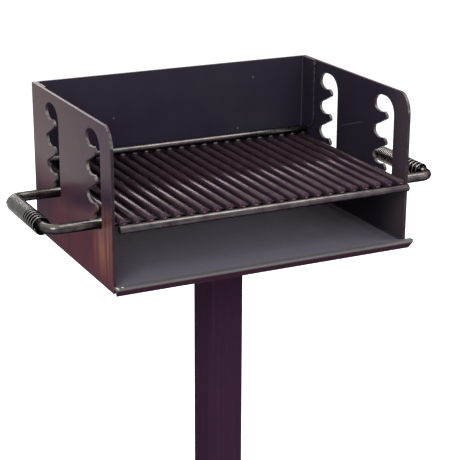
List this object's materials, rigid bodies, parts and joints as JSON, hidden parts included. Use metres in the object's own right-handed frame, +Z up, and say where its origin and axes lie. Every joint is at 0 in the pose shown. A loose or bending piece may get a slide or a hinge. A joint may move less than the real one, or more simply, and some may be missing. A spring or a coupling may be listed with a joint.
{
  "type": "park pedestal charcoal grill",
  "caption": "Open plate-steel charcoal grill that swivels on a square post, with a lift-out rod grate held at different heights in comb slots and spring hand grips.",
  "frame": {"origin": "centre of the base plate's underside, on the ground and on the post's axis", "axes": "+Z up along the post; -Y towards the firebox's open front, where the cook stands; +X to the right as seen from there"},
  "size_m": [0.695, 0.3578, 0.91],
  "materials": {
    "enamel": "semi-gloss black paint, browned by heat",
    "baked_floor": "black paint dulled to grey by heat and ash",
    "grate_steel": "greased dark steel bar",
    "spring_steel": "bright-edged spring wire",
    "post_enamel": "semi-gloss dark paint",
    "plain_steel": "plain turned or zinc-plated steel"
  },
  "bodies": {
    "post": {"base_plate": "post_enamel", "post_tube": "post_enamel", "post_bearing_plate": "post_enamel", "thrust_washer": "plain_steel", "lock_nut": "plain_steel", "lock_bolt": "plain_steel"},
    "firebox": {"swivel_mount_plate": "enamel", "swivel_spindle": "plain_steel", "floor_plate": "baked_floor", "front_lip": "enamel", "back_plate": "enamel", "left_side_plate": "enamel", "right_side_plate": "enamel"},
    "grate": {"front_bar": "grate_steel", "back_bar": "grate_steel", "carrier_loop_left": "grate_steel", "carrier_loop_right": "grate_steel", "grate_rod_01": "grate_steel", "grate_rod_02": "grate_steel", "grate_rod_03": "grate_steel", "grate_rod_04": "grate_steel", "grate_rod_05": "grate_steel", "grate_rod_06": "grate_steel", "grate_rod_07": "grate_steel", "grate_rod_08": "grate_steel", "grate_rod_09": "grate_steel", "grate_rod_10": "grate_steel", "grate_rod_11": "grate_steel", "grate_rod_12": "grate_steel", "grate_rod_13": "grate_steel", "grate_rod_14": "grate_steel", "grate_rod_15": "grate_steel", "grate_rod_16": "grate_steel", "grate_rod_17": "grate_steel", "grate_rod_18": "grate_steel", "grate_rod_19": "grate_steel", "grate_rod_20": "grate_steel", "grate_rod_21": "grate_steel", "grate_rod_22": "grate_steel", "grate_rod_23": "grate_steel"},
    "grip_left": {"grip_spring_left": "spring_steel"},
    "grip_right": {"grip_spring_right": "spring_steel"}
  },
  "joints": [
    {"name": "firebox_swivel", "type": "hinge", "parent": "post", "child": "firebox", "pos_m": [0, 0, 0.6], "axis": [0, 0, 1], "continuous": true},
    {"name": "grate_lift", "type": "slide", "parent": "firebox", "child": "grate", "axis": [0, 0, 1], "range_m": [0, 0.12]},
    {"name": "grip_spin_left", "type": "hinge", "parent": "grate", "child": "grip_left", "pos_m": [-0.334, -0.02975, 0.75354], "axis": [0, 1, 0], "continuous": true},
    {"name": "grip_spin_right", "type": "hinge", "parent": "grate", "child": "grip_right", "pos_m": [0.334, -0.02975, 0.75354], "axis": [0, 1, 0], "continuous": true}
  ]
}
